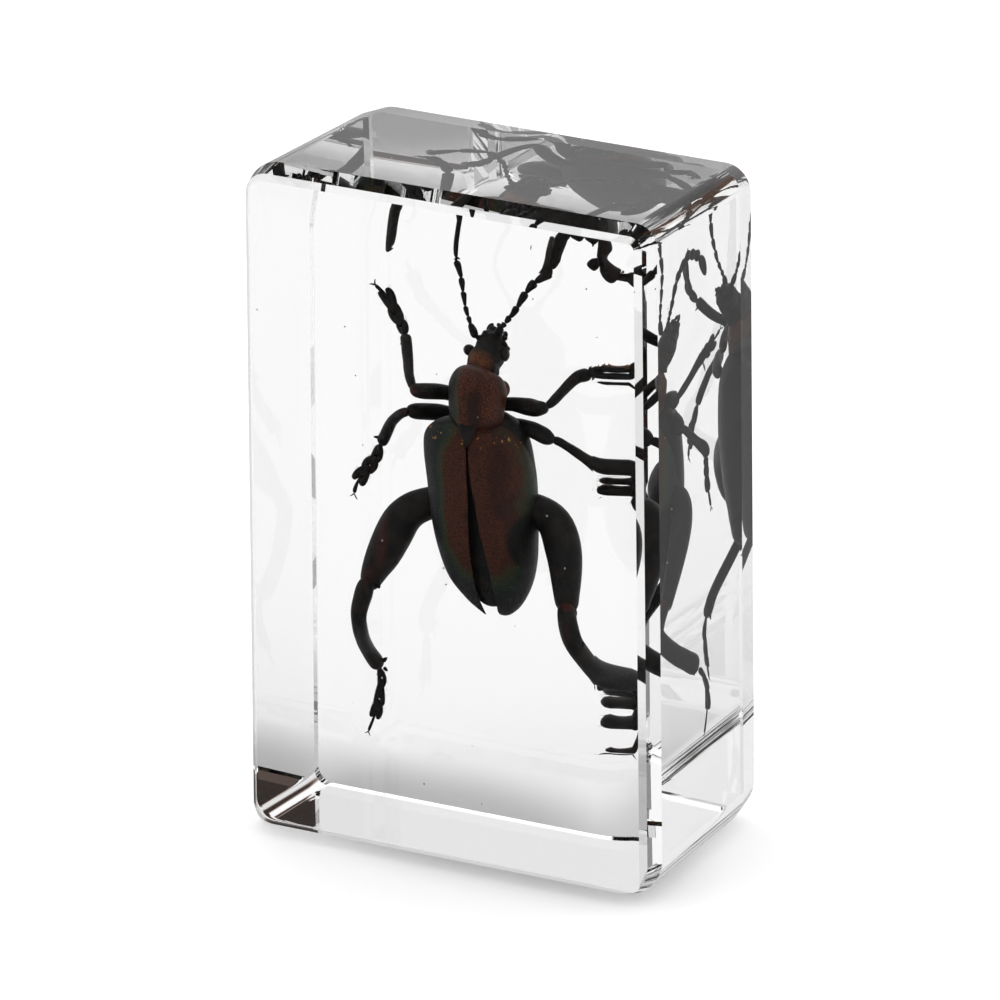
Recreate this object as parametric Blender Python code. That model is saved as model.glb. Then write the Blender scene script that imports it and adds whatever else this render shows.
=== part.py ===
"""A clear resin block that holds a dry beetle, as one cast and polished solid.

The block stands on its narrow end. X runs across its width, -Y is the large front face,
+Z is up, and the origin is the centre of the face it stands on. The mould gave its sides and
its top a slight taper towards the back.
"""

from math import radians, tan

import bmesh
import bpy

# Driving dimensions, in metres
WIDTH = 0.0286
DEPTH = 0.0163
HEIGHT = 0.0440
TAPER = radians(1.9)
CORNER_RADIUS = 0.00086
CORNER_SEGMENTS = 10

# Each large face is ground off round its rim in two flats. A flat is (inset, fall): how far it
# comes in from the side, and how far it runs along the depth, in the order from side to face.
FRONT_FLATS = ((0.00047, 0.00107), (0.00036, 0.00038))
BACK_FLATS = ((0.00032, 0.00205), (0.00050, 0.00057))

# Inside its rim the front face is polished round, so that it falls away a little to its edges
FRONT_ROUND = ((0.00065, 0.00028), (0.00065, 0.00018), (0.00065, 0.00010), (0.00065, 0.00004))
POINT_SIZE = 0.0001

SMOOTH_ANGLE = radians(12)

RESIN_COLOUR = (0.93, 0.95, 0.94, 1.0)
RESIN_ROUGHNESS = 0.03
RESIN_IOR = 1.52


def clear_scene():
    for old in list(bpy.data.objects):
        bpy.data.objects.remove(old, do_unlink=True)


def resin_material():
    material = bpy.data.materials.new("clear_resin")
    material.use_nodes = True
    shader = material.node_tree.nodes["Principled BSDF"]
    shader.inputs["Base Color"].default_value = RESIN_COLOUR
    shader.inputs["Roughness"].default_value = RESIN_ROUGHNESS
    shader.inputs["Metallic"].default_value = 0.0
    shader.inputs["IOR"].default_value = RESIN_IOR
    shader.inputs["Transmission Weight"].default_value = 1.0
    return material


def depth_of(flats):
    return sum(fall for inset, fall in flats)


def front_outline(bm, y):
    """The block's outline as one face at this depth: a rectangle with rounded corners."""
    side = WIDTH / 2
    corners = ((-side, 0), (side, 0), (side, HEIGHT), (-side, HEIGHT))
    outline = bm.faces.new([bm.verts.new((x, y, z)) for x, z in corners])
    bmesh.ops.bevel(
        bm,
        geom=list(outline.verts),
        affect="VERTICES",
        offset=CORNER_RADIUS,
        offset_type="OFFSET",
        segments=CORNER_SEGMENTS,
        profile=0.5,
        material=-1,
    )
    bm.normal_update()
    return bm.faces[:][0]


def grind_rim(bm, face, flats):
    """Steps a large face outwards and inwards by each flat in turn."""
    for inset, fall in flats:
        bmesh.ops.inset_region(
            bm, faces=[face], thickness=inset, depth=fall, use_even_offset=True
        )


def polish_round(bm, front):
    """Draws each tiny corner of the front face to a point, then steps the face outwards."""
    bmesh.ops.remove_doubles(bm, verts=front.verts[:], dist=POINT_SIZE)
    front = min(bm.faces, key=lambda face: face.calc_center_median().y)
    grind_rim(bm, front, FRONT_ROUND)


def taper_back(bm, verts, run):
    """Draws the back outline in from both sides and from the top; the bottom stays level."""
    lean = run * tan(TAPER)
    across = (WIDTH - 2 * lean) / WIDTH
    up = (HEIGHT - lean) / HEIGHT
    bmesh.ops.scale(bm, verts=verts, vec=(across, 1, up))


def resin_block():
    """The outline pulled through the depth, then both large faces with their ground rims."""
    bm = bmesh.new()
    front_y = -DEPTH / 2 + depth_of(FRONT_FLATS) + depth_of(FRONT_ROUND)
    back_y = DEPTH / 2 - depth_of(BACK_FLATS)
    front = front_outline(bm, front_y)
    pulled = bmesh.ops.extrude_face_region(bm, geom=[front], use_keep_orig=True)
    back_verts = [item for item in pulled["geom"] if isinstance(item, bmesh.types.BMVert)]
    back_faces = [item for item in pulled["geom"] if isinstance(item, bmesh.types.BMFace)]
    bmesh.ops.translate(bm, verts=back_verts, vec=(0, back_y - front_y, 0))
    taper_back(bm, back_verts, back_y - front_y)
    bmesh.ops.recalc_face_normals(bm, faces=bm.faces)
    grind_rim(bm, front, FRONT_FLATS)
    grind_rim(bm, back_faces[0], BACK_FLATS)
    polish_round(bm, front)

    mesh = bpy.data.meshes.new("resin_block")
    bm.to_mesh(mesh)
    bm.free()
    mesh.shade_smooth()
    mesh.set_sharp_from_angle(angle=SMOOTH_ANGLE)
    mesh.materials.append(resin_material())
    block = bpy.data.objects.new("resin_block", mesh)
    bpy.context.collection.objects.link(block)
    return block


clear_scene()
resin_block()
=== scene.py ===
from math import cos, pi, radians, sin, tan
from random import Random

import bmesh
import bpy
from mathutils import Matrix, Quaternion, Vector, noise


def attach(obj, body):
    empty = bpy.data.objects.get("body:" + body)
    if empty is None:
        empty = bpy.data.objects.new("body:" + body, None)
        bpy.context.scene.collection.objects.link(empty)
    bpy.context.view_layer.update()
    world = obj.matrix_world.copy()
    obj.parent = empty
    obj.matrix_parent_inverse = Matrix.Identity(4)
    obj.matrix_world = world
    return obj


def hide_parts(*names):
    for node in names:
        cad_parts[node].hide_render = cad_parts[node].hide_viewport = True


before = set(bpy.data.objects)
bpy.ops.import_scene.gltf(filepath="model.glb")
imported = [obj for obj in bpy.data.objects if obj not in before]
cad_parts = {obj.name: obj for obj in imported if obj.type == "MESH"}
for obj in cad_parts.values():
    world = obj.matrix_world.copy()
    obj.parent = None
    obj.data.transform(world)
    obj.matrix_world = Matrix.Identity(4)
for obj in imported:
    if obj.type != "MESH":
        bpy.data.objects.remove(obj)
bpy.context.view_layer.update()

mm = 0.001              # places and sizes below are in millimetres


# Shader sums: a socket in a Wire takes part in + - * / **, so 1 - mask adds its own Math node

class Wire:
    def __init__(self, nodes, socket):
        self.nodes = nodes
        self.socket = socket

    def sum(self, operation, *values):
        return self.nodes.add("ShaderNodeMath", {"operation": operation}, dict(enumerate(values)))

    def __add__(self, other):
        return self.sum("ADD", self, other)

    def __sub__(self, other):
        return self.sum("SUBTRACT", self, other)

    def __rsub__(self, other):
        return self.sum("SUBTRACT", other, self)

    def __mul__(self, other):
        return self.sum("MULTIPLY", self, other)

    def __truediv__(self, other):
        return self.sum("DIVIDE", self, other)

    def __pow__(self, other):
        return self.sum("POWER", self, other)

    def __abs__(self):
        return self.sum("ABSOLUTE", self)

    __radd__ = __add__
    __rmul__ = __mul__

    def between(self, low, high):
        # 0 up to low, 1 from high on, and a smooth step in between
        return self.nodes.add(
            "ShaderNodeMapRange",
            {"interpolation_type": "SMOOTHSTEP"},
            {"Value": self, "From Min": low, "From Max": high},
        )

    def part(self, axis):
        return self.nodes.add("ShaderNodeSeparateXYZ", None, {"Vector": self}, axis)


class Nodes:
    def __init__(self, owner):
        owner.use_nodes = True
        self.owner = owner
        self.tree = owner.node_tree
        self.tree.nodes.clear()

    def add(self, kind, settings=None, sockets=None, out=0):
        # makes a node and hands back one of its outputs, or the node itself where out is None
        node = self.tree.nodes.new(kind)
        for name, value in (settings or {}).items():
            setattr(node, name, value)
        for name, value in (sockets or {}).items():
            if isinstance(value, Wire):
                self.tree.links.new(value.socket, node.inputs[name])
            else:
                node.inputs[name].default_value = value
        return Wire(self, node.outputs[out]) if out is not None else node

    def place(self):
        # where on the piece, in millimetres
        here = self.add("ShaderNodeTexCoord", out="Object")
        return self.add("ShaderNodeMapping", None, {"Vector": here, "Scale": (1 / mm,) * 3})

    def cloud(self, where, scale, detail=3.0, rough=0.5):
        return self.add("ShaderNodeTexNoise", None, {
            "Vector": where, "Scale": scale, "Detail": detail, "Roughness": rough})

    def mix(self, share, first, second, blend="MIX"):
        settings = {"data_type": "RGBA", "blend_type": blend}
        return self.add("ShaderNodeMix", settings, {0: share, 6: first, 7: second}, out=2)

    def away(self, where, spot, size):
        # how far from a spot, with 1 at the edge of its zone
        gap = self.add("ShaderNodeVectorMath", {"operation": "SUBTRACT"}, {0: where, 1: spot})
        gap = self.add("ShaderNodeVectorMath", {"operation": "DIVIDE"}, {0: gap, 1: size})
        return self.add("ShaderNodeVectorMath", {"operation": "LENGTH"}, {0: gap}, "Value")

    def relief(self, height, distance, strength=1.0):
        sockets = {"Height": height, "Strength": strength, "Distance": distance}
        return self.add("ShaderNodeBump", None, sockets)


def startFinish(name):
    return Nodes(bpy.data.materials.new(name))


def closeFinish(nodes, sockets, inside=None):
    # ends a finish in its Principled shader
    ends = {"Surface": nodes.add("ShaderNodeBsdfPrincipled", None, sockets)}
    if inside:
        ends["Volume"] = inside
    nodes.add("ShaderNodeOutputMaterial", None, ends, out=None)
    return nodes.owner


# Modelling helpers

beetleShift = (0.12, 0.30, 0.10)        # moves the finished beetle in the block, in millimetres


def standPiece(name, bm, finish, subdivisions=0, replaced=()):
    # turns a bmesh into a finished piece; only the block stands for a CAD node, and isn't shifted
    bmesh.ops.recalc_face_normals(bm, faces=bm.faces)
    if not replaced:
        bmesh.ops.translate(bm, verts=bm.verts, vec=Vector(beetleShift) * mm)
    mesh = bpy.data.meshes.new(name)
    bm.to_mesh(mesh)
    bm.free()
    mesh.materials.append(finish)
    piece = bpy.data.objects.new(name, mesh)
    bpy.context.scene.collection.objects.link(piece)
    if subdivisions:
        mesh.shade_smooth()
        smoother = piece.modifiers.new("smooth", "SUBSURF")
        smoother.levels = smoother.render_levels = subdivisions
    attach(piece, "root")
    for node in replaced:
        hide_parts(node)
    return piece


def alongCurve(points, t):
    # a smooth curve through the points, t from 0 to 1
    spot = min(max(t, 0), 1) * (len(points) - 1)
    i = min(int(spot), len(points) - 2)
    f = spot - i
    a, b = points[max(i - 1, 0)], points[i]
    c, d = points[i + 1], points[min(i + 2, len(points) - 1)]
    return tuple(
        q + 0.5 * f * (r - p + f * (2 * p - 5 * q + 4 * r - s + f * (3 * (q - r) + s - p)))
        for p, q, r, s in zip(a, b, c, d)
    )


def roundedRows(stations, rings, blunt):
    # stations read off the smooth curve, closer at both ends, where the width rounds off
    first, last = Vector(stations[0][:3]), Vector(stations[-1][:3])
    rows = []
    for i in range(rings + 1):
        row = list(alongCurve(stations, (1 - cos(pi * i / rings)) / 2))
        spot = Vector(row[:3])
        reach = row[3] * blunt / 2
        near = min((spot - first).length, (spot - last).length)
        if near < reach:
            row[3:] = [w * max(1 - (1 - near / reach) ** 2, 0.05) ** 0.5 for w in row[3:]]
        rows.append(row)
    return rows


def growLimb(bm, stations, sides=12, rings=14, facing=(0, -1, 0), blunt=1.0):
    # a ring pulled along; a station is x, y, z, width and maybe thickness, in millimetres
    grow = 8 / (6 + 2 * cos(2 * pi / sides))        # what smoothing takes off a ring
    rows = roundedRows(stations, rings, blunt)
    spots = [Vector(row[:3]) for row in rows]
    places = []
    for i, row in enumerate(rows):
        along = spots[min(i + 1, rings)] - spots[max(i - 1, 0)]
        across = along.cross(Vector(facing)).normalized()
        outwards = across.cross(along).normalized()
        turn = Matrix((across, outwards, along.normalized())).transposed().to_4x4()
        size = Matrix.Diagonal((row[3] * grow / 2, row[-1] * grow / 2, 1, 1))
        places.append(Matrix.Scale(mm, 4) @ Matrix.Translation(spots[i]) @ turn @ size)
    ring = bmesh.ops.create_circle(
        bm, cap_ends=False, radius=1, segments=sides, matrix=places[0])["verts"]
    loop = list(dict.fromkeys(edge for vert in ring for edge in vert.link_edges))
    grown = list(ring)
    firstLoop = loop
    for before, after in zip(places, places[1:]):
        pulled = bmesh.ops.extrude_edge_only(bm, edges=loop)["geom"]
        moved = [item for item in pulled if isinstance(item, bmesh.types.BMVert)]
        loop = [edge for edge in pulled if isinstance(edge, bmesh.types.BMEdge)
                and edge.verts[0] in moved and edge.verts[1] in moved]
        bmesh.ops.transform(bm, matrix=after @ before.inverted(), verts=moved)
        grown += moved
    bmesh.ops.edgeloop_fill(bm, edges=firstLoop)
    bmesh.ops.edgeloop_fill(bm, edges=loop)
    return grown


def growBall(bm, spot, size, wide=14, high=9):
    ball = bmesh.ops.create_uvsphere(bm, u_segments=wide, v_segments=high, radius=mm)["verts"]
    bmesh.ops.scale(bm, verts=ball, vec=size)
    bmesh.ops.translate(bm, verts=ball, vec=Vector(spot) * mm)
    return ball


def roughen(bm, amount, scale):
    # small dents and lumps: how deep and how wide, in millimetres
    bmesh.ops.recalc_face_normals(bm, faces=bm.faces)
    bm.normal_update()
    shifts = [(vert, vert.normal * noise.noise(vert.co / mm / scale) * amount * mm)
              for vert in bm.verts]
    for vert, shift in shifts:
        vert.co += shift


# The clear block

block = {
    "width": 28.6, "depth": 16.3, "height": 44.0,
    "taper": radians(1.9),                          # the sides and the top lean in to the back
    # corner radii of the outline and of the two front flats, for each (on the right, at the top)
    "corners": {
        (False, False): (0.9, 1.4, 1.1), (True, False): (2.8, 2.0, 0.6),
        (False, True): (2.4, 1.5, 0.9), (True, True): (1.4, 0.9, 0.4)},
    "cornerSteps": 20,
    "leftLean": 0.009,                              # the left side leans in over its height
    "frontFlats": ((0.47, 1.07), (0.36, 0.38)),     # inset and fall of each ground flat
    "backFlats": ((0.32, 2.05), (0.50, 0.57)),
    # the front face falls away to its edges in a soft round: step width, and each step's slope
    "roundStep": 0.325, "roundSlopes": (0.44, 0.38, 0.31, 0.25, 0.18, 0.12, 0.07, 0.03),
    "firstInset": 0.0065,                           # how wide a new ring is before it is placed
    "tightLeft": 0.2,                               # share of the round at the left and the foot
    "sharpAngle": radians(9),
    "flatArea": 3.0,                                # square mm: from here on a face is dead flat
    "ior": 1.56, "clearness": (0.85, 0.85, 0.85, 1),
    "absorbed": (0.0, 0.015, 0.015, 1), "absorption": 1.5,      # per metre
    "hazeScale": 0.5, "hazeEdge": (0.55, 0.9), "hazeRough": 0.002,
}


def blockFinish():
    nodes = startFinish("clear_resin")
    where = nodes.place()
    haze = nodes.cloud(where, block["hazeScale"], 4.0).between(*block["hazeEdge"])
    inside = nodes.add("ShaderNodeVolumeAbsorption", None, {
        "Color": block["absorbed"], "Density": block["absorption"]})
    return closeFinish(nodes, {
        "Base Color": block["clearness"], "Roughness": haze * block["hazeRough"],
        "IOR": block["ior"], "Transmission Weight": 1.0}, inside)


def cornerWays(face, half):
    # for each vertex its corner, and how far round the corner it lies: 1 is on the straight side
    ways = []
    for vert in face.verts:
        x, z = vert.co.x / mm, vert.co.z / mm - half[1]
        radius = block["corners"][x > 0, z > 0][0]
        ways.append((x > 0, z > 0, max(1 - (half[0] - abs(x)) / radius, 0),
                     max(1 - (half[1] - abs(z)) / radius, 0)))
    return ways


def stepRing(bm, face, ways, half, y, flat, reach, ring):
    # steps a large face outwards; flat comes off every side, reach less off the left and the foot
    grown = bmesh.ops.inset_region(bm, faces=[face], thickness=block["firstInset"] * mm)["faces"]
    for vert, (onRight, above, wayX, wayZ) in zip(face.verts, ways):
        reachX = reach * (1 if onRight else block["tightLeft"])
        reachZ = reach * (1 if above else block["tightLeft"])
        radius = block["corners"][onRight, above][ring]
        x = half[0] - flat - reachX - (radius + reachX) * (1 - wayX)
        z = half[1] - flat - reachZ - (radius + reachZ) * (1 - wayZ)
        vert.co = Vector((x if onRight else -x, y, half[1] + (z if above else -z))) * mm
    return grown


def grindBack(bm, face, half):
    # the two ground flats round the back face
    ways = cornerWays(face, half)
    y, rim = face.verts[0].co.y / mm, 0
    for inset, fall in block["backFlats"]:
        rim += inset
        y += fall
        stepRing(bm, face, ways, half, y, 0, rim, 0)


def grindFront(bm, face, half):
    # the ground flats, then the soft round, whose corners get rounder from step to step
    ways = cornerWays(face, half)
    y, rim = face.verts[0].co.y / mm, 0
    for ring, (inset, fall) in enumerate(block["frontFlats"], 1):
        rim += inset
        y -= fall
        stepRing(bm, face, ways, half, y, rim, 0, ring)
    grown = []
    for i, slope in enumerate(block["roundSlopes"], 1):
        y -= tan(slope) * block["roundStep"]
        grown += stepRing(bm, face, ways, half, y, rim, block["roundStep"] * i, 2)
    return set(grown)


def makeBlock():
    bm = bmesh.new()
    side, top = block["width"] / 2, block["height"]
    roundFall = sum(tan(slope) for slope in block["roundSlopes"]) * block["roundStep"]
    frontFall = sum(fall for inset, fall in block["frontFlats"])
    frontY = -block["depth"] / 2 + roundFall + frontFall
    backY = block["depth"] / 2 - sum(fall for inset, fall in block["backFlats"])
    corners = ((-side, 0), (side, 0), (side, top), (-side, top))
    sharp = [bm.verts.new(Vector((x, frontY, z)) * mm) for x, z in corners]
    bm.faces.new(sharp)
    for vert in sharp:
        radius = block["corners"][vert.co.x > 0, vert.co.z > 0][0]
        bmesh.ops.bevel(
            bm, geom=[vert], affect="VERTICES", offset=radius * mm, offset_type="OFFSET",
            segments=block["cornerSteps"], profile=0.5, material=-1)
    bm.normal_update()
    front = bm.faces[:][0]
    pulled = bmesh.ops.extrude_face_region(bm, geom=[front], use_keep_orig=True)["geom"]
    moved = [item for item in pulled if isinstance(item, bmesh.types.BMVert)]
    back = [item for item in pulled if isinstance(item, bmesh.types.BMFace)][0]
    bmesh.ops.translate(bm, verts=moved, vec=(0, (backY - frontY) * mm, 0))
    lean = (backY - frontY) * tan(block["taper"])
    bmesh.ops.scale(bm, verts=moved, vec=((side - lean) / side, 1, (top - lean) / top))
    bmesh.ops.recalc_face_normals(bm, faces=bm.faces)
    grindBack(bm, back, (side - lean, (top - lean) / 2))
    polished = grindFront(bm, front, (side, top / 2))
    for vert in bm.verts:
        if vert.co.x < 0:
            vert.co.x += vert.co.z * block["leftLean"]
    for face in bm.faces:
        face.smooth = face in polished or face.calc_area() < block["flatArea"] * mm * mm
    for edge in bm.edges:
        inside = all(face in polished for face in edge.link_faces)
        edge.smooth = inside or edge.calc_face_angle(0) < block["sharpAngle"]
    return standPiece("resin_block_clear", bm, blockFinish(),
                      replaced=["resin_block"])


makeBlock()
print("block done")


# The beetle's finishes

shell = {
    "copper": (0.105, 0.027, 0.010, 1), "copperDeep": (0.018, 0.006, 0.004, 1),
    "olive": (0.040, 0.034, 0.013, 1), "green": (0.020, 0.032, 0.018, 1),
    "flank": (0.013, 0.014, 0.015, 1), "black": (0.0040, 0.0038, 0.0036, 1),
    "brown": (0.013, 0.009, 0.007, 1), "red": (0.070, 0.013, 0.006, 1),
    "gold": (0.50, 0.24, 0.06, 1), "amber": (0.16, 0.050, 0.015, 1),
    "pitScale": 5.5, "pitEdge": (0.05, 0.32), "pitDepth": 0.030, "grainScale": 9.0,
    "grainEdge": (0.38, 0.62), "patchEdge": (0.50, 0.70), "patchShare": 0.6,
    "grainLift": 0.4, "gloss": 0.22, "roughSpread": 0.25,
}


def shellGrain(nodes, where):
    # the fine punctures and the grain between them
    pits = nodes.add("ShaderNodeTexVoronoi", {"feature": "F1"}, {
        "Vector": where, "Scale": shell["pitScale"], "Randomness": 0.8})
    grain = nodes.cloud(where, shell["grainScale"], 4.0, 0.6)
    return pits.between(*shell["pitEdge"]), grain


def copperTint(nodes, patches, grain):
    # copper that breaks up into dark grain
    colour = nodes.mix(grain.between(*shell["grainEdge"]), shell["copperDeep"], shell["copper"])
    deep = patches.between(*shell["patchEdge"]) * shell["patchShare"]
    return nodes.mix(deep, colour, shell["copperDeep"])


def closeShell(nodes, colour, pits, grain, rough, metal, pitting):
    # ends a shell finish, with its pits in the normal and its grain in the roughness
    height = pits + grain * shell["grainLift"]
    normal = nodes.relief(height, shell["pitDepth"] * mm, pitting)
    spread = (grain - 0.5) * shell["roughSpread"]
    return closeFinish(nodes, {
        "Base Color": colour, "Metallic": metal, "Roughness": rough + spread,
        "Specular IOR Level": shell["gloss"], "Normal": normal})


saddle = {
    # the copper field over both wing covers: its middle in x and z, and half its width and height
    "middle": (0.72, 23.2), "half": (2.85, 5.7), "power": 3,
    "borders": {"olive": (0.80, 0.92), "green": (0.90, 1.00), "flank": (0.97, 1.10)},
    "patchScale": 0.55, "borderWaver": 0.35, "borderGrain": 0.15,
    # a patch or streak is a spot, its size, where it fades out, and its share
    # the dark patch is painted shade on the right cover beside the right hind thigh
    "paintedThighShade": ((3.5, 0.5, 20.7), (1.20, 9.0, 2.0), (0.7, 1.1), 0.97), "paintedThighShadeWaver": 0.6,
    "darkStreak": ((1.9, -1.0, 25.2), (0.8, 9.0, 3.0), (0.3, 1.2), 0.6),
    "darkGrain": ((0.45, 0.70), 0.45),
    "paintedGlints": (27.05, 0.55),        # height of the row of painted gold glints, and half its width
    "rowFade": (0.3, 1.1), "glintScale": 2.8, "glintEdge": (0.63, 0.70), "glintShare": 0.85,
    "rough": 0.50, "metal": 0.15, "pitting": 0.8,
}


def wingFinish():
    # copper over the back, a thin olive and green border, then dark flanks and a dark rear;
    # painted shade beside the right hind thigh, and a row of painted gold glints at the shoulders
    nodes = startFinish("wing_cover_shell")
    where = nodes.place()
    pits, grain = shellGrain(nodes, where)
    patches = nodes.cloud(where, saddle["patchScale"], 3.0)
    x, z = where.part(0), where.part(2)
    sideways = abs(x - saddle["middle"][0]) / saddle["half"][0]
    endways = abs(z - saddle["middle"][1]) / saddle["half"][1]
    power = saddle["power"]
    edge = (sideways ** power + endways ** power) ** (1 / power)
    edge = edge + (patches - 0.5) * saddle["borderWaver"] + (grain - 0.5) * saddle["borderGrain"]
    colour = copperTint(nodes, patches, grain)
    spot, size, fade, share = saddle["darkStreak"]
    streak = 1 - nodes.away(where, spot, size).between(*fade)
    colour = nodes.mix(streak * share, colour, shell["copperDeep"])
    for tint, zone in saddle["borders"].items():
        colour = nodes.mix(edge.between(*zone), colour, shell[tint])
    # painted shade: a near-black patch on the right cover beside the right hind thigh
    spot, size, fade, share = saddle["paintedThighShade"]
    away = nodes.away(where, spot, size) + (patches - 0.5) * saddle["paintedThighShadeWaver"]
    colour = nodes.mix((1 - away.between(*fade)) * share, colour, shell["black"])
    fade, share = saddle["darkGrain"]
    colour = nodes.mix(grain.between(*fade) * share, colour, shell["black"])
    # painted highlights: a row of gold glints across the shoulders of the covers, put into the colour
    height, spread = saddle["paintedGlints"]
    row = 1 - (abs(z - height) / spread).between(*saddle["rowFade"])
    paintedGlints = nodes.cloud(where, saddle["glintScale"], 2.0).between(*saddle["glintEdge"]) * row
    colour = nodes.mix(paintedGlints * saddle["glintShare"], colour, shell["gold"])
    return closeShell(
        nodes, colour, pits, grain, saddle["rough"], saddle["metal"], saddle["pitting"])


neck = {
    # the pronotum's darker column, the x of its middle, and how far out its borders lie
    "column": ((0.35, 0, 28.9), (0.60, 9.0, 1.9), (0.4, 1.1), 0.9),
    "middle": 0.65, "borders": {"olive": (1.30, 1.60), "black": (1.50, 1.85)},
    "patchScale": 0.8, "waver": 0.7,
    "topRim": (31.45, 31.7), "footRim": (27.3, 27.55),
    "rough": 0.48, "metal": 0.15, "pitting": 0.6,
}


def neckFinish():
    # copper in the middle with a darker column, olive at the left edge, black rims
    nodes = startFinish("pronotum_shell")
    where = nodes.place()
    pits, grain = shellGrain(nodes, where)
    patches = nodes.cloud(where, neck["patchScale"], 3.0)
    x, z = where.part(0), where.part(2)
    colour = copperTint(nodes, patches, grain)
    spot, size, fade, share = neck["column"]
    column = 1 - nodes.away(where, spot, size).between(*fade)
    colour = nodes.mix(column * share, colour, shell["copperDeep"])
    out = abs(x - neck["middle"]) + (patches - 0.5) * neck["waver"]
    for tint, zone in neck["borders"].items():
        colour = nodes.mix(out.between(*zone), colour, shell[tint])
    ends = z.between(*neck["topRim"]) + (1 - z.between(*neck["footRim"]))
    colour = nodes.mix(ends, colour, shell["black"])
    return closeShell(nodes, colour, pits, grain, neck["rough"], neck["metal"], neck["pitting"])


dark = {
    # where the dark pieces turn brown, warm and grey; a warm zone is a spot, its size, a tint
    # and its share
    "patchScale": 0.9, "brownEdge": (0.42, 0.66), "waver": 0.7,
    "warmFade": (0.35, 1.15), "warmGrain": (0.30, 0.60),
    "greyScale": 7.0, "greyEdge": (0.52, 0.70), "greyShare": 0.35, "metal": 0.1,
    "headZones": (
        ((-0.05, 2.3, 31.60), (0.95, 2.0, 0.80), "amber", 1.0),
        ((-0.60, 2.6, 31.95), (0.35, 1.5, 0.35), "amber", 0.9)),
    "eyeZones": (((-1.65, 3.6, 31.9), (0.3, 0.5, 0.4), "red", 0.8),),
    "legZones": (
        ((-4.55, 0.6, 29.30), (0.75, 1.2, 0.42), "red", 0.8),
        ((-5.10, 1.2, 27.70), (0.30, 0.8, 0.25), "red", 0.9),
        ((-6.20, -1.0, 19.30), (0.55, 1.8, 2.6), "red", 0.55),
        ((-6.90, -2.2, 17.30), (0.60, 1.2, 0.9), "red", 0.45),
        ((6.90, -1.3, 17.45), (0.55, 0.8, 0.28), "red", 0.9),
        ((7.10, -2.2, 15.9), (0.55, 1.0, 1.0), "red", 0.35)),
}


def darkFinish(name, zones=(), rough=0.5, pitting=0.6):
    # nearly black shell with brown patches, warm zones and grey grain
    nodes = startFinish(name)
    where = nodes.place()
    pits, grain = shellGrain(nodes, where)
    patches = nodes.cloud(where, dark["patchScale"], 3.0)
    colour = nodes.mix(patches.between(*dark["brownEdge"]), shell["black"], shell["brown"])
    for spot, size, tint, share in zones:
        away = nodes.away(where, spot, size) + (patches - 0.5) * dark["waver"]
        warm = (1 - away.between(*dark["warmFade"])) * grain.between(*dark["warmGrain"])
        colour = nodes.mix(warm * share, colour, shell[tint])
    grey = nodes.cloud(where, dark["greyScale"], 3.0).between(*dark["greyEdge"])
    colour = nodes.mix(grey * dark["greyShare"], colour, shell["flank"])
    return closeShell(nodes, colour, pits, grain, rough, dark["metal"], pitting)


dust = {
    # the feet's bristles and the specks, each from dark to pale
    "bristleBrown": (0.10, 0.035, 0.008, 1), "bristleGold": (0.34, 0.15, 0.03, 1),
    "speckDark": (0.10, 0.09, 0.08, 1), "speckPale": (0.75, 0.74, 0.70, 1),
}


def bristleFinish():
    nodes = startFinish("golden_bristle")
    tint = nodes.cloud(nodes.place(), 2.0, 3.0)
    colour = nodes.mix(tint.between(0.35, 0.65), dust["bristleBrown"], dust["bristleGold"])
    return closeFinish(nodes, {
        "Base Color": colour, "Roughness": 0.6 + tint * 0.2, "Specular IOR Level": 0.2})


def speckFinish():
    nodes = startFinish("pale_speck")
    tint = nodes.cloud(nodes.place(), 6.0, 2.0)
    colour = nodes.mix(tint, dust["speckDark"], dust["speckPale"])
    return closeFinish(nodes, {"Base Color": colour, "Roughness": 0.5 + tint * 0.2})


# Wing covers

wingCovers = {
    "thickness": 0.10, "acrossSteps": 22, "alongSteps": 44, "underTurn": 104,
    # for each station from base to tip: the margin, then the edge along the suture
    "left": (
        ((-2.20, 1.60, 27.75), (-0.42, 0.30, 27.95)),
        ((-2.95, 1.00, 27.45), (-0.40, -0.45, 27.60)),
        ((-3.62, 0.75, 26.75), (-0.33, -0.92, 26.60)),
        ((-3.72, 0.70, 25.60), (-0.22, -1.20, 25.20)),
        ((-3.50, 0.70, 23.60), (-0.14, -1.25, 23.30)),
        ((-3.28, 0.70, 21.40), (-0.15, -1.15, 21.20)),
        ((-2.88, 0.75, 19.30), (-0.17, -0.80, 19.40)),
        ((-2.25, 1.10, 17.30), (-0.19, 0.20, 17.30)),
        ((-1.25, 1.65, 15.90), (-0.10, 1.10, 15.95)),
        ((-0.60, 1.90, 15.30), (-0.03, 1.60, 15.35)),
        ((-0.03, 2.15, 14.85), (0.01, 2.05, 14.90)),
    ),
    "right": (
        ((1.60, 2.20, 28.00), (-0.10, 0.30, 27.95)),
        ((2.35, 2.15, 27.45), (-0.18, -0.45, 27.60)),
        ((3.05, 2.15, 26.40), (-0.22, -0.92, 26.30)),
        ((3.42, 2.15, 24.90), (-0.05, -1.15, 24.60)),
        ((3.62, 2.15, 22.80), (0.31, -1.25, 23.00)),
        ((3.62, 2.15, 20.80), (0.55, -1.12, 21.20)),
        ((3.55, 2.15, 18.90), (0.85, -0.65, 19.40)),
        ((3.15, 2.30, 17.25), (1.00, 0.20, 17.60)),
        ((2.40, 2.55, 15.85), (0.95, 1.30, 15.95)),
        ((1.60, 2.70, 15.05), (0.88, 1.90, 15.30)),
        ((1.10, 2.75, 14.85), (0.85, 2.40, 15.00)),
    ),
}


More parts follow.
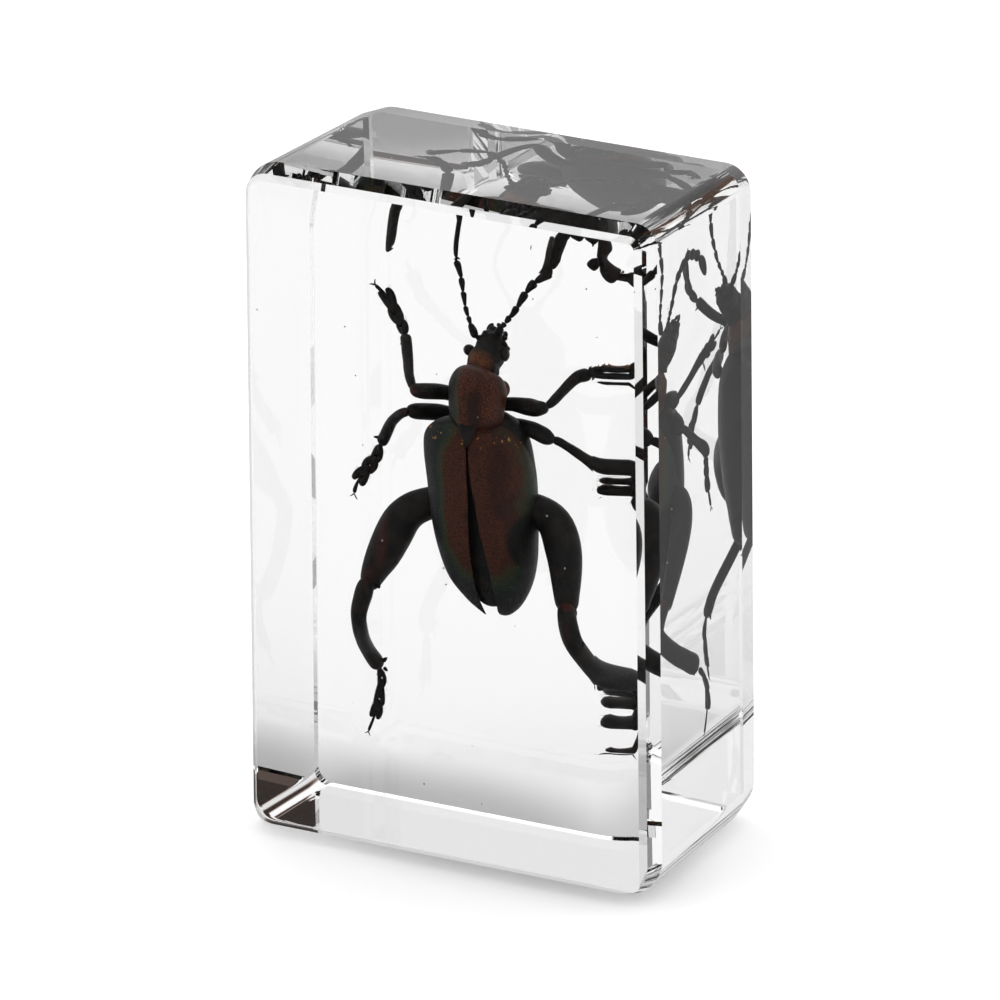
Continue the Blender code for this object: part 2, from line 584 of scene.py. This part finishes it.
def makeWingCover(side, finish):
    bm = bmesh.new()
    bmesh.ops.create_grid(
        bm, x_segments=wingCovers["acrossSteps"], y_segments=wingCovers["alongSteps"], size=0.5)
    margins = [pair[0] for pair in wingCovers[side]]
    sutures = [pair[1] for pair in wingCovers[side]]
    for vert in bm.verts:
        over, down = vert.co.x + 0.5, vert.co.y + 0.5
        margin = alongCurve(margins, down)
        suture = alongCurve(sutures, down)
        turn = radians(wingCovers["underTurn"] * over)
        out = sin(turn)
        vert.co = Vector((
            margin[0] * out + suture[0] * (1 - out),
            margin[1] + (suture[1] - margin[1]) * cos(turn),
            margin[2] * over + suture[2] * (1 - over))) * mm
    bmesh.ops.recalc_face_normals(bm, faces=bm.faces)
    middle = bm.faces[:][len(bm.faces) // 2]
    if middle.normal.y > 0:
        bmesh.ops.reverse_faces(bm, faces=bm.faces)
    bmesh.ops.solidify(bm, geom=bm.faces[:], thickness=wingCovers["thickness"] * mm)
    return standPiece(f"wing_cover_{side}", bm, finish, 1)


# Body: pronotum, head, belly, scutellum. A station is x, y, z, width across and thickness

body = {
    "turn": radians(10),        # the whole beetle is turned a little towards its right
    "pronotum": (
        (-0.06, 1.70, 31.30, 2.10, 2.20), (-0.08, 1.60, 31.02, 2.80, 2.90),
        (-0.08, 1.48, 30.65, 3.40, 3.50), (-0.08, 1.36, 30.22, 3.80, 3.95),
        (-0.08, 1.28, 29.85, 3.92, 4.10), (-0.12, 1.20, 29.35, 3.82, 4.15),
        (-0.16, 1.12, 28.60, 3.72, 4.20), (-0.14, 1.12, 27.95, 3.62, 4.15),
        (-0.12, 1.15, 27.60, 3.50, 4.00), (-0.10, 1.20, 27.45, 3.20, 3.60),
    ),
    "pronotumCorners": ((-1.70, 1.95, 30.05), (1.45, 2.10, 30.00)),
    "cornerSize": (0.42, 0.55, 0.55), "pronotumDents": (0.05, 0.9),
    "head": (
        (-0.15, 2.30, 30.50, 2.00, 1.90), (-0.12, 2.50, 31.00, 2.25, 2.20),
        (-0.12, 3.00, 31.42, 2.05, 2.20), (0.08, 3.45, 31.85, 2.10, 2.20),
        (0.10, 3.95, 32.22, 2.05, 2.00), (0.02, 4.35, 32.50, 1.55, 1.60),
        (-0.04, 4.75, 32.75, 1.15, 1.25), (-0.08, 5.05, 32.95, 0.80, 0.95),
    ),
    "headDents": (0.20, 0.40),
    "belly": (
        (-0.30, 2.40, 28.60, 3.00, 2.80), (-0.15, 2.30, 27.70, 4.60, 3.80),
        (0.05, 2.30, 26.60, 6.00, 4.50), (0.15, 2.30, 25.00, 6.50, 4.80),
        (0.25, 2.35, 23.40, 6.60, 4.80), (0.30, 2.35, 22.00, 6.40, 4.60),
        (0.35, 2.30, 20.40, 6.00, 4.20), (0.40, 2.25, 18.80, 5.10, 3.60),
        (0.40, 2.30, 17.40, 4.00, 2.80), (0.45, 2.40, 16.10, 2.40, 1.90),
        (0.50, 2.50, 15.50, 1.20, 1.10),
    ),
    # where the belly's plates meet, how far each steps in, and the x and y they step in to
    "bellyPlates": (22.3, 20.9, 19.6, 18.4, 17.2, 16.2, 15.2), "plateStep": 0.05,
    "bellyMiddle": (0.3, 2.3),
    "eyes": (((-1.36, 3.60, 31.78), (0.42, 0.45, 0.38)), ((1.08, 3.55, 31.95), (0.36, 0.50, 0.50))),
    # lumps of the face, then the jaws and their feelers
    "face": (
        ((0.62, 3.60, 32.80), 0.40), ((0.98, 3.75, 32.50), 0.32), ((1.08, 3.90, 32.22), 0.28),
        ((-0.58, 3.60, 32.68), 0.32), ((-0.18, 3.55, 32.88), 0.34), ((0.22, 3.50, 32.92), 0.32),
        ((0.85, 4.10, 32.82), 0.26), ((0.05, 4.40, 33.15), 0.32),
    ),
    "jaws": (
        ((-0.28, 4.60, 32.88, 0.38), (-0.38, 4.95, 33.14, 0.32), (-0.20, 5.25, 33.36, 0.18)),
        ((0.25, 4.55, 32.88, 0.40), (0.45, 4.90, 33.14, 0.34), (0.20, 5.20, 33.36, 0.18)),
        ((0.60, 4.30, 32.62, 0.20), (0.82, 4.60, 32.88, 0.22), (0.75, 4.90, 33.10, 0.14)),
        ((-0.58, 4.30, 32.52, 0.20), (-0.76, 4.60, 32.72, 0.20), (-0.68, 4.95, 32.86, 0.14)),
    ),
    "scutellum": (
        (-0.24, -0.45, 28.05, 1.25, 0.30), (-0.24, -0.80, 27.70, 1.25, 0.30),
        (-0.21, -0.97, 27.02, 0.6875, 0.26), (-0.19, -1.05, 26.50, 0.10, 0.16),
    ),
}
beetleFacing = (sin(body["turn"]), -cos(body["turn"]), 0)


def makePronotum(finish):
    bm = bmesh.new()
    growLimb(bm, body["pronotum"], sides=24, rings=20, facing=beetleFacing, blunt=0.35)
    for spot in body["pronotumCorners"]:
        growBall(bm, spot, body["cornerSize"])
    roughen(bm, *body["pronotumDents"])
    return standPiece("pronotum", bm, finish, 2)


def makeBelly(finish):
    # plates overlap towards the tip: the outline steps in below each plate's edge
    bm = bmesh.new()
    grown = growLimb(bm, body["belly"], sides=24, rings=60, facing=beetleFacing, blunt=0.5)
    middle = Vector(body["bellyMiddle"]) * mm
    plates = body["bellyPlates"]
    for vert in grown:
        high = vert.co.z / mm
        for upper, lower in zip(plates, plates[1:]):
            if lower < high <= upper:
                down = (upper - high) / (upper - lower)
                vert.co.xy = middle + (vert.co.xy - middle) * (1 - body["plateStep"] * (1 - down))
    return standPiece("belly", bm, finish, 1)


def makeHead(finish):
    bm = bmesh.new()
    growLimb(bm, body["head"], sides=20, rings=20, facing=beetleFacing, blunt=0.4)
    for spot, size in body["face"]:
        growBall(bm, spot, (size, size, size), wide=10, high=7)
    for jaw in body["jaws"]:
        growLimb(bm, jaw, sides=8, rings=6)
    roughen(bm, *body["headDents"])
    return standPiece("head", bm, finish, 2)


def makeEyes(finish):
    bm = bmesh.new()
    for spot, size in body["eyes"]:
        growBall(bm, spot, size, wide=20, high=12)
    return standPiece("eyes", bm, finish, 1)


def makeScutellum(finish):
    bm = bmesh.new()
    growLimb(bm, body["scutellum"], sides=10, rings=8, blunt=0.4)
    return standPiece("scutellum", bm, finish, 2)


# Antennae: eleven beads each, from the face to the tip

antennae = {
    # how far along a bead, and its width there as a share
    "beads": {
        "first": ((0.0, 0.55), (0.30, 0.95), (0.60, 1.0), (0.85, 0.80), (1.02, 0.45)),
        "middle": ((0.0, 0.48), (0.20, 0.64), (0.55, 0.86), (0.85, 1.0), (1.03, 0.80)),
        "last": ((0.0, 0.50), (0.25, 0.90), (0.50, 1.0), (0.80, 0.72), (1.0, 0.20)),
    },
    "dents": (0.05, 0.35),
    "left": {
        "path": (
            (-0.85, 3.40, 32.70), (-1.10, 3.40, 33.30), (-1.45, 3.62, 33.98), (-1.75, 3.95, 34.70),
            (-1.96, 4.22, 35.60), (-2.17, 4.41, 36.45), (-2.46, 4.40, 37.40), (-2.62, 4.30, 38.30),
            (-2.85, 4.20, 39.05), (-3.50, 3.85, 39.60), (-4.60, 3.20, 39.85), (-5.50, 2.60, 39.65),
            (-6.05, 2.60, 39.10), (-6.50, 3.15, 38.15), (-7.20, 4.15, 37.20)),
        "joints": (0, 0.10, 0.14, 0.20, 0.27, 0.34, 0.42, 0.50, 0.60, 0.71, 0.83, 1.0),
        "widths": (0.60, 0.40, 0.38, 0.42, 0.46, 0.50, 0.52, 0.58, 0.66, 0.72, 0.74),
    },
    "right": {
        "path": (
            (0.60, 3.50, 33.10), (0.95, 3.22, 33.62), (1.36, 3.15, 34.18), (1.90, 3.15, 34.86),
            (2.40, 3.15, 35.70), (2.95, 3.25, 36.60), (3.55, 3.35, 37.20), (4.40, 3.45, 37.82),
            (5.10, 3.50, 38.23), (5.75, 3.50, 38.31), (6.35, 3.45, 38.36), (6.98, 3.50, 38.34),
            (7.48, 3.65, 38.10), (7.88, 3.80, 37.60), (8.22, 3.90, 36.98)),
        "joints": (0, 0.09, 0.13, 0.18, 0.25, 0.33, 0.41, 0.50, 0.60, 0.71, 0.83, 1.0),
        "widths": (0.58, 0.42, 0.44, 0.50, 0.56, 0.62, 0.68, 0.74, 0.82, 0.86, 0.80),
    },
}


def makeAntenna(side, finish):
    facts = antennae[side]
    bm = bmesh.new()
    joints = facts["joints"]
    last = len(facts["widths"]) - 1
    for i, width in enumerate(facts["widths"]):
        start, end = joints[i], joints[i + 1]
        kind = {0: "first", last: "last"}.get(i, "middle")
        growLimb(bm, [
            (*alongCurve(facts["path"], start + (end - start) * t), width * w)
            for t, w in antennae["beads"][kind]], sides=10, rings=10, blunt=0.7)
    roughen(bm, *antennae["dents"])
    return standPiece(f"antenna_{side}", bm, finish, 1)


# Legs: thigh and shin are stations of x, y, z and width; the foot is the path of its soles;
# a spur runs from one point to another with a width at its root

legs = {
    "foreleg_left": {
        "thigh": (
            (-1.60, 3.25, 28.60, 0.80), (-2.20, 3.00, 28.78, 0.97), (-2.80, 2.40, 29.03, 1.02),
            (-3.51, 1.45, 29.15, 1.06), (-4.16, 1.05, 29.14, 1.00), (-4.75, 1.00, 29.30, 0.80)),
        "shin": (
            (-4.55, 1.00, 29.25, 0.52), (-4.80, 1.30, 29.66, 0.60), (-5.15, 2.05, 30.14, 0.68),
            (-5.52, 3.05, 30.87, 0.74), (-5.90, 3.95, 31.68, 0.80), (-6.02, 4.15, 31.95, 0.66)),
        "foot": (
            (-5.98, 4.10, 31.80), (-6.31, 4.55, 32.29), (-6.81, 4.85, 32.93),
            (-7.35, 4.85, 33.96), (-7.78, 4.45, 34.49), (-8.10, 4.20, 34.86)),
        "footWidth": 1.10,
        "spurs": (((-6.05, 3.95, 31.45), (-6.42, 4.20, 31.20), 0.26),),
    },
    "midleg_left": {
        "thigh": (
            (-1.60, 3.70, 27.20, 0.80), (-2.47, 3.65, 27.32, 1.02), (-3.20, 3.30, 27.43, 1.08),
            (-3.94, 2.75, 27.47, 1.10), (-4.75, 1.92, 27.53, 1.04), (-5.20, 1.60, 27.50, 0.78)),
        "shin": (
            (-5.05, 1.65, 27.52, 0.52), (-5.45, 1.55, 27.38, 0.62), (-6.08, 1.95, 26.91, 0.66),
            (-6.60, 2.45, 26.28, 0.72), (-7.20, 3.05, 25.30, 0.80), (-7.58, 3.33, 24.62, 0.72)),
        "foot": (
            (-7.55, 3.30, 24.70), (-7.90, 3.50, 23.85), (-8.43, 3.65, 23.07), (-9.02, 3.45, 22.28),
            (-9.39, 3.45, 21.62), (-9.55, 3.35, 20.95)),
        "footWidth": 1.08,
        "spurs": (((-7.55, 3.20, 25.05), (-8.00, 3.05, 25.08), 0.26),),
    },
    "hindleg_left": {
        "thigh": (
            (-1.90, 2.55, 22.00, 1.50), (-2.86, 2.35, 21.95, 1.85), (-4.11, 1.85, 21.53, 2.12),
            (-5.16, 1.35, 20.91, 2.28), (-5.77, 0.75, 19.87, 2.50), (-6.36, -0.15, 18.35, 2.32),
            (-6.82, -1.15, 17.20, 1.72), (-6.98, -1.95, 16.40, 1.36), (-7.02, -2.15, 16.20, 1.20)),
        "shin": (
            (-7.00, -1.95, 16.80, 1.10), (-7.15, -2.70, 15.85, 1.24), (-7.27, -3.30, 14.90, 1.12),
            (-7.43, -2.65, 13.81, 1.06), (-7.77, -0.95, 12.54, 1.06), (-7.99, 0.85, 11.40, 1.08),
            (-7.78, 1.95, 10.42, 1.16), (-7.68, 2.30, 9.95, 0.92)),
        "foot": (
            (-7.68, 2.30, 10.10), (-7.60, 2.62, 9.30), (-7.70, 2.45, 7.90), (-7.82, 2.25, 7.15),
            (-8.07, 1.95, 6.39), (-8.30, 1.62, 5.62)),
        "footWidth": 0.86,
        "spurs": (
            ((-6.55, -1.70, 16.95), (-6.18, -2.05, 16.35), 0.62),
            ((-7.25, 1.70, 10.55), (-6.92, 1.85, 10.85), 0.34),
            ((-7.25, 2.00, 10.10), (-7.02, 2.15, 9.85), 0.34)),
    },
    "foreleg_right": {
        "thigh": (
            (0.30, 3.20, 28.60, 0.70), (0.86, 3.05, 28.72, 0.80), (1.83, 2.85, 28.93, 0.92),
            (2.96, 2.55, 29.00, 1.16), (3.88, 2.25, 29.13, 1.00), (4.45, 2.35, 29.40, 0.76)),
        "shin": (
            (4.30, 2.35, 29.32, 0.50), (4.62, 2.60, 29.55, 0.60), (5.09, 3.55, 30.19, 0.64),
            (5.76, 4.35, 31.00, 0.76), (6.35, 4.35, 31.28, 0.86), (6.80, 4.22, 31.45, 0.76)),
        "foot": (
            (6.65, 4.25, 31.40), (7.02, 4.25, 31.62), (7.35, 4.55, 31.80), (7.65, 5.00, 32.10),
            (7.85, 5.50, 32.45), (8.02, 6.00, 32.80)),
        "footWidth": 1.08,
        "spurs": (((6.95, 4.25, 31.05), (7.50, 4.20, 30.55), 0.24),),
    },
    "midleg_right": {
        "thigh": (
            (-0.20, 3.55, 27.10, 0.80), (0.55, 3.55, 27.26, 0.95), (1.59, 3.35, 27.41, 1.00),
            (2.99, 2.85, 27.52, 1.08), (4.06, 2.75, 27.23, 1.14), (4.75, 2.85, 27.08, 0.76)),
        "shin": (
            (4.60, 2.85, 27.10, 0.50), (5.00, 2.95, 26.96, 0.60), (5.66, 3.15, 26.64, 0.62),
            (6.54, 3.65, 26.03, 0.72), (7.25, 4.25, 25.45, 0.92), (7.70, 4.20, 25.05, 0.80)),
        "foot": (
            (7.50, 4.25, 25.10), (7.36, 4.25, 24.60), (7.34, 4.30, 24.00), (7.57, 4.25, 23.30),
            (7.90, 4.30, 22.50), (8.20, 4.40, 21.60)),
        "footWidth": 1.0,
        "spurs": (((7.75, 4.15, 24.95), (8.10, 4.15, 24.45), 0.26),),
    },
    "hindleg_right": {
        "thigh": (
            (1.30, 2.60, 22.60, 1.50), (2.32, 2.60, 22.44, 1.98), (3.82, 2.65, 22.22, 2.26),
            (4.83, 2.50, 21.63, 2.52), (5.52, 1.75, 20.52, 2.54), (6.02, 0.75, 19.16, 2.22),
            (6.33, -0.20, 17.85, 1.76), (6.52, -0.80, 17.05, 1.56), (6.58, -1.00, 16.75, 1.46)),
        "shin": (
            (6.45, -0.70, 17.20, 1.20), (6.95, -2.00, 16.35, 1.36), (7.38, -2.45, 15.45, 1.36),
            (7.65, -1.55, 14.45, 1.34), (7.92, -0.25, 13.45, 1.34), (8.05, 0.85, 12.75, 1.36),
            (8.10, 1.75, 12.20, 1.40), (8.05, 2.45, 11.75, 1.20)),
        "foot": (
            (7.86, 2.70, 11.50), (7.72, 3.30, 10.95), (7.55, 3.90, 10.10), (7.52, 4.15, 9.00),
            (7.45, 4.05, 8.00), (7.25, 3.75, 6.60)),
        "footWidth": 0.98,
        "spurs": (
            ((7.00, -0.85, 17.15), (7.30, -1.20, 16.80), 0.40),
            ((7.95, -2.20, 15.40), (8.12, -2.45, 15.05), 0.46),
            ((7.70, 2.10, 11.60), (7.55, 2.30, 11.20), 0.34)),
    },
}
foot = {
    # where each lobed joint of the foot starts and ends along its path, and how wide it is
    "joints": ((0.02, 0.30, 0.74), (0.22, 0.50, 0.92), (0.42, 0.74, 1.0)),
    # a joint's stations: how far along it, then on and out from there, its width and thickness
    "root": ((0, 0, 0, 0.40, 1.0), (0.5, 0, 0, 0.62, 1.1), (0.5, 0.20, 0, 0.50, 1.0)),
    "lobe": (
        (0, 0.12, 0.08, 0.34, 0.8), (0.5, 0, 0.23, 0.50, 1.0),
        (0.5, 0.30, 0.29, 0.47, 0.9), (1, 0.06, 0.27, 0.36, 0.7)),
    "flatness": 0.40,
    # the last joint carries two claws; a claw's stations are on, out and width
    "clawJoint": (0.58, 0.97), "clawJointWidth": 0.24,
    "clawJointShape": ((0, 0.7), (0.4, 0.75), (0.8, 1.1), (1.0, 0.9)),
    "clawLength": 0.30, "clawWidth": 0.10,
    "claw": ((0, 0, 1.3), (0.45, 0.30, 1.0), (0.80, 0.62, 0.7), (0.90, 0.95, 0.3)),
    # bristles: where their roots lie along a joint, out from it and above it, and their ways
    "bristles": 22, "bristleLength": (0.12, 0.28), "bristleWidth": 0.026,
    "rootAlong": (-0.25, 0.48), "rootOut": (0.15, 0.46), "rootLift": (-0.3, 0.3),
    "wayOut": (0.2, 1.0), "wayAhead": (0.2, 0.9), "wayLift": (-0.6, 0.6),
    "spur": (1.0, 0.8, 0.25),                       # a spur's width at its root, middle and tip
    "dents": (0.06, 0.55),
}


def footAxes(path, t):
    here = Vector(alongCurve(path, t))
    ahead = Vector(alongCurve(path, min(t + 0.05, 1))) - Vector(alongCurve(path, max(t - 0.05, 0)))
    ahead.normalize()
    across = ahead.cross(Vector((0, -1, 0))).normalized()
    return here, ahead, across


def makeLeg(name, finish, bristles):
    facts = legs[name]
    bm = bmesh.new()
    growLimb(bm, facts["thigh"], sides=16, rings=22)
    growLimb(bm, facts["shin"], sides=12, rings=22, blunt=0.7)
    for root, tip, width in facts["spurs"]:
        spots = (Vector(root), (Vector(root) + Vector(tip)) / 2, Vector(tip))
        growLimb(bm, [
            (*spot, width * share)
            for spot, share in zip(spots, foot["spur"])], sides=8, rings=6, blunt=0.5)
    path, wide = facts["foot"], facts["footWidth"]
    flat = foot["flatness"] * wide
    dice = Random(name)
    for start, end, share in foot["joints"]:
        makeFootJoint(bm, bristles, dice, path, (start, end), wide * share, flat)
    makeClaws(bm, path, wide)
    roughen(bm, *foot["dents"])
    return standPiece(name, bm, finish, 1)


def makeClaws(bm, path, wide):
    # the slender last joint of the foot, and the two claws at its end
    start, end = foot["clawJoint"]
    growLimb(bm, [
        (*alongCurve(path, start + (end - start) * t), foot["clawJointWidth"] * wide * w)
        for t, w in foot["clawJointShape"]], sides=8, rings=8)
    here, ahead, across = footAxes(path, end)
    long = foot["clawLength"] * wide
    for side in (-1, 1):
        growLimb(bm, [
            (*(here + ahead * long * on + across * side * long * out), foot["clawWidth"] * w)
            for on, out, w in foot["claw"]], sides=6, rings=6)


def makeFootJoint(bm, bristles, dice, path, span, width, flat):
    # a narrow root that parts into two flat lobes, with bristles round their edges
    start, end = span
    here, ahead, across = footAxes(path, (start + end) / 2)
    length = (Vector(alongCurve(path, end)) - Vector(alongCurve(path, start))).length

    def stations(shape, side):
        rows = []
        for share, on, out, wide, thick in shape:
            spot = Vector(alongCurve(path, start + (end - start) * share))
            spot += ahead * length * on + across * side * width * out
            rows.append((*spot, width * wide, flat * thick))
        return rows

    growLimb(bm, stations(foot["root"], 0), sides=10, rings=8)
    for side in (-1, 1):
        growLimb(bm, stations(foot["lobe"], side), sides=10, rings=9)
        for k in range(foot["bristles"]):
            growBristle(bristles, dice, here, ahead, across * side, width, flat, length)


def growBristle(bm, dice, here, ahead, outwards, width, flat, length):
    # one stiff hair on the edge or the sole of a foot joint
    reach = dice.uniform(*foot["bristleLength"])
    down = ahead.cross(outwards)
    root = here + ahead * length * dice.uniform(*foot["rootAlong"])
    root += outwards * width * dice.uniform(*foot["rootOut"])
    root += down * flat * dice.uniform(*foot["rootLift"])
    way = outwards * dice.uniform(*foot["wayOut"]) + ahead * dice.uniform(*foot["wayAhead"])
    way = (way + down * dice.uniform(*foot["wayLift"])).normalized()
    turn = way.to_track_quat("Z", "Y").to_matrix().to_4x4()
    middle = Matrix.Translation((root + way * reach / 2) * mm)
    bmesh.ops.create_cone(
        bm, cap_ends=True, segments=3, radius1=foot["bristleWidth"] * mm / 2, radius2=0,
        depth=reach * mm, matrix=middle @ turn)


# Specks caught in the resin, and pale lumps put on the shell as painted glints

specks = {
    "seen": ((7.72, 0.15, 37.84), (5.05, -2.85, 37.39), (7.63, 2.15, 34.40), (-1.98, -1.85, 31.16)),
    "strewn": 16, "room": ((-12, 5), (-6, 6), (3, 41)), "radius": (0.025, 0.07), "lumps": 0.35,
    "glintLumps": ((-4.65, 0.75, 21.35), (-4.50, 0.72, 21.15), (4.62, 1.20, 22.40), (-2.10, -0.55, 18.13),
               (-6.25, -0.95, 19.30), (6.35, -0.55, 19.60)),
    "glintLumpSize": 0.07,
}


def makeSpecks(finish):
    bm = bmesh.new()
    dice = Random("specks")
    spots = list(specks["seen"])
    for k in range(specks["strewn"]):
        spots.append(tuple(dice.uniform(*room) for room in specks["room"]))
    # the glint lumps are painted glints: pale bits on the thighs and covers where the shell catches
    # the light
    for spot in spots + list(specks["glintLumps"]):
        radius = specks["glintLumpSize"] if spot in specks["glintLumps"] else dice.uniform(*specks["radius"])
        place = Matrix.Translation(Vector(spot) * mm)
        lump = bmesh.ops.create_icosphere(bm, subdivisions=1, radius=radius * mm, matrix=place)
        for vert in lump["verts"]:
            vert.co += (vert.co - Vector(spot) * mm) * dice.uniform(-specks["lumps"], specks["lumps"])
    return standPiece("resin_specks_and_painted_glints", bm, finish)


def makeBeetle():
    wings = wingFinish()
    for side in ("left", "right"):
        makeWingCover(side, wings)
    makePronotum(neckFinish())
    makeHead(darkFinish("head_shell", dark["headZones"], rough=0.55, pitting=1.0))
    belly = darkFinish("belly_shell")
    makeBelly(belly)
    makeScutellum(belly)
    makeEyes(darkFinish("eye_shell", dark["eyeZones"], rough=0.3))
    horn = darkFinish("antenna_shell", rough=0.6, pitting=0.8)
    for side in ("left", "right"):
        makeAntenna(side, horn)
    legShell = darkFinish("leg_shell", dark["legZones"], pitting=0.7)
    bristles = bmesh.new()
    for name in legs:
        makeLeg(name, legShell, bristles)
    standPiece("foot_bristles", bristles, bristleFinish())
    makeSpecks(speckFinish())


makeBeetle()
print("beetle done")


# Floor, light and camera

studio = {
    "floorSize": 40.0, "floorPale": 0.75, "floorGlow": 0.33,
    "gap": 0.05,                                            # the air under the block, in millimetres
    # a soft painted shadow on the floor under and behind the block: its middle, half its size, how
    # far it leans to the left towards the back, how square it is, where it fades out, and its depth
    "shadowMiddle": (-0.6, 3), "shadowHalf": (17, 14), "shadowLean": 0.545, "shadowPower": 3,
    "shadowFade": (0.45, 1.0), "shadowDepth": 0.42,
    # light from in front, behind and above, and the heights or depths at which it changes
    "ahead": 0.35, "behind": 0.99, "behindFade": (-0.9, 0.1),
    "overhead": 0.6, "overheadFade": (0.4, 0.9),
    # a soft box in front, on the left
    "box": 0.9, "boxLeft": (0.1, 0.35), "boxAhead": (0.4, 0.7), "boxUp": (0.02, 0.15),
    # what polished faces mirror: dark in front, a pale card behind that is paler at the top
    "cardDark": 0.02, "cardBack": 0.34, "cardBackFade": (0.3, 0.8),
    "cardTop": 0.39, "cardTopFade": (-0.3, 0.3),
    # a dark brown patch behind, on the right: its depth, its way, and where it fades in
    "shadeDepth": 0.97, "shadeWay": (0.4455, 0.8175, 0.365), "shadeFade": (0.950, 0.985),
    "shadeTint": (1.0, 0.66, 0.52, 1),
    "bounces": 24,
}
white, black = (1, 1, 1, 1), (0, 0, 0, 1)


def makeFloor():
    bm = bmesh.new()
    bmesh.ops.create_grid(bm, x_segments=1, y_segments=1, size=studio["floorSize"] / 2)
    bmesh.ops.translate(bm, verts=bm.verts, vec=(0, 0, -studio["gap"] * mm))
    mesh = bpy.data.meshes.new("floor")
    bm.to_mesh(mesh)
    bm.free()
    nodes = startFinish("pale_floor")
    where = nodes.place()
    x, y, power = where.part(0), where.part(1), studio["shadowPower"]
    across = abs(x + y * studio["shadowLean"] - studio["shadowMiddle"][0]) / studio["shadowHalf"][0]
    along = abs(y - studio["shadowMiddle"][1]) / studio["shadowHalf"][1]
    edge = (across ** power + along ** power) ** (1 / power)
    # painted shadow: the floor's colour and its glow both darken in a soft patch under and behind the
    # block
    shade = (1 - edge.between(*studio["shadowFade"])) * studio["shadowDepth"]
    pale = studio["floorPale"]
    colour = nodes.mix(shade, (pale, pale, pale, 1), black)
    glow = nodes.mix(shade, white, black)
    mesh.materials.append(closeFinish(nodes, {
        "Base Color": colour, "Roughness": 1.0, "Specular IOR Level": 0.0,
        "Emission Color": glow, "Emission Strength": studio["floorGlow"]}))
    floor = bpy.data.objects.new("floor", mesh)
    bpy.context.scene.collection.objects.link(floor)
    floor.visible_glossy = False


def lightStudio():
    world = bpy.data.worlds.new("soft studio")
    bpy.context.scene.world = world
    nodes = Nodes(world)
    way = nodes.add("ShaderNodeTexCoord", out="Generated")
    reflected = nodes.add("ShaderNodeLightPath", out="Is Reflection Ray")
    glossy = nodes.add("ShaderNodeLightPath", out="Is Glossy Ray")
    toRight, toBack, up = way.part(0), way.part(1), way.part(2)
    card = studio["cardBack"] + studio["cardTop"] * up.between(*studio["cardTopFade"])
    card = studio["cardDark"] + toBack.between(*studio["cardBackFade"]) * card
    gain = studio["behind"] - studio["ahead"]
    soft = studio["ahead"] + gain * toBack.between(*studio["behindFade"])
    soft = soft + studio["overhead"] * up.between(*studio["overheadFade"])
    box = (-1 * toRight).between(*studio["boxLeft"]) * (-1 * toBack).between(*studio["boxAhead"])
    soft = soft + studio["box"] * box * up.between(*studio["boxUp"])
    right, back, high = studio["shadeWay"]
    shade = (toRight * right + toBack * back + up * high).between(*studio["shadeFade"])
    soft = soft * (1 - studio["shadeDepth"] * shade)
    share = soft + reflected * glossy * (card - soft)
    tint = nodes.mix(shade, white, studio["shadeTint"])
    glow = nodes.add("ShaderNodeBackground", None, {"Color": tint, "Strength": share})
    nodes.add("ShaderNodeOutputWorld", None, {"Surface": glow}, out=None)


view = {
    # looks at the middle of the block from the right and above, shifted a little, in millimetres
    "middle": (0, 0.30, block["height"] / 2),
    "azimuth": radians(28.585), "elevation": radians(21.399), "roll": radians(-0.798),
    "distance": 740.9, "right": -0.1282, "up": -0.3106, "lens": 433.07, "sensor": 36,
    "near": 10,
}


def placeCamera():
    towards = Vector((
        sin(view["azimuth"]) * cos(view["elevation"]),
        -cos(view["azimuth"]) * cos(view["elevation"]),
        sin(view["elevation"])))
    turn = towards.to_track_quat("Z", "Y") @ Quaternion((0, 0, 1), view["roll"])
    spot = Vector(view["middle"]) + towards * view["distance"]
    spot += turn @ Vector((view["right"], view["up"], 0))
    data = bpy.data.cameras.new("camera")
    data.lens = view["lens"]
    data.sensor_width = view["sensor"]
    data.clip_start = view["near"] * mm
    camera = bpy.data.objects.new("camera", data)
    camera.rotation_mode = "QUATERNION"
    camera.rotation_quaternion = turn
    camera.location = spot * mm
    bpy.context.scene.collection.objects.link(camera)
    bpy.context.scene.camera = camera


makeFloor()
lightStudio()
placeCamera()
scene = bpy.context.scene
scene.view_settings.view_transform = "Standard"
scene.cycles.max_bounces = studio["bounces"]
scene.cycles.glossy_bounces = studio["bounces"]
scene.cycles.transmission_bounces = studio["bounces"]
print("studio done")
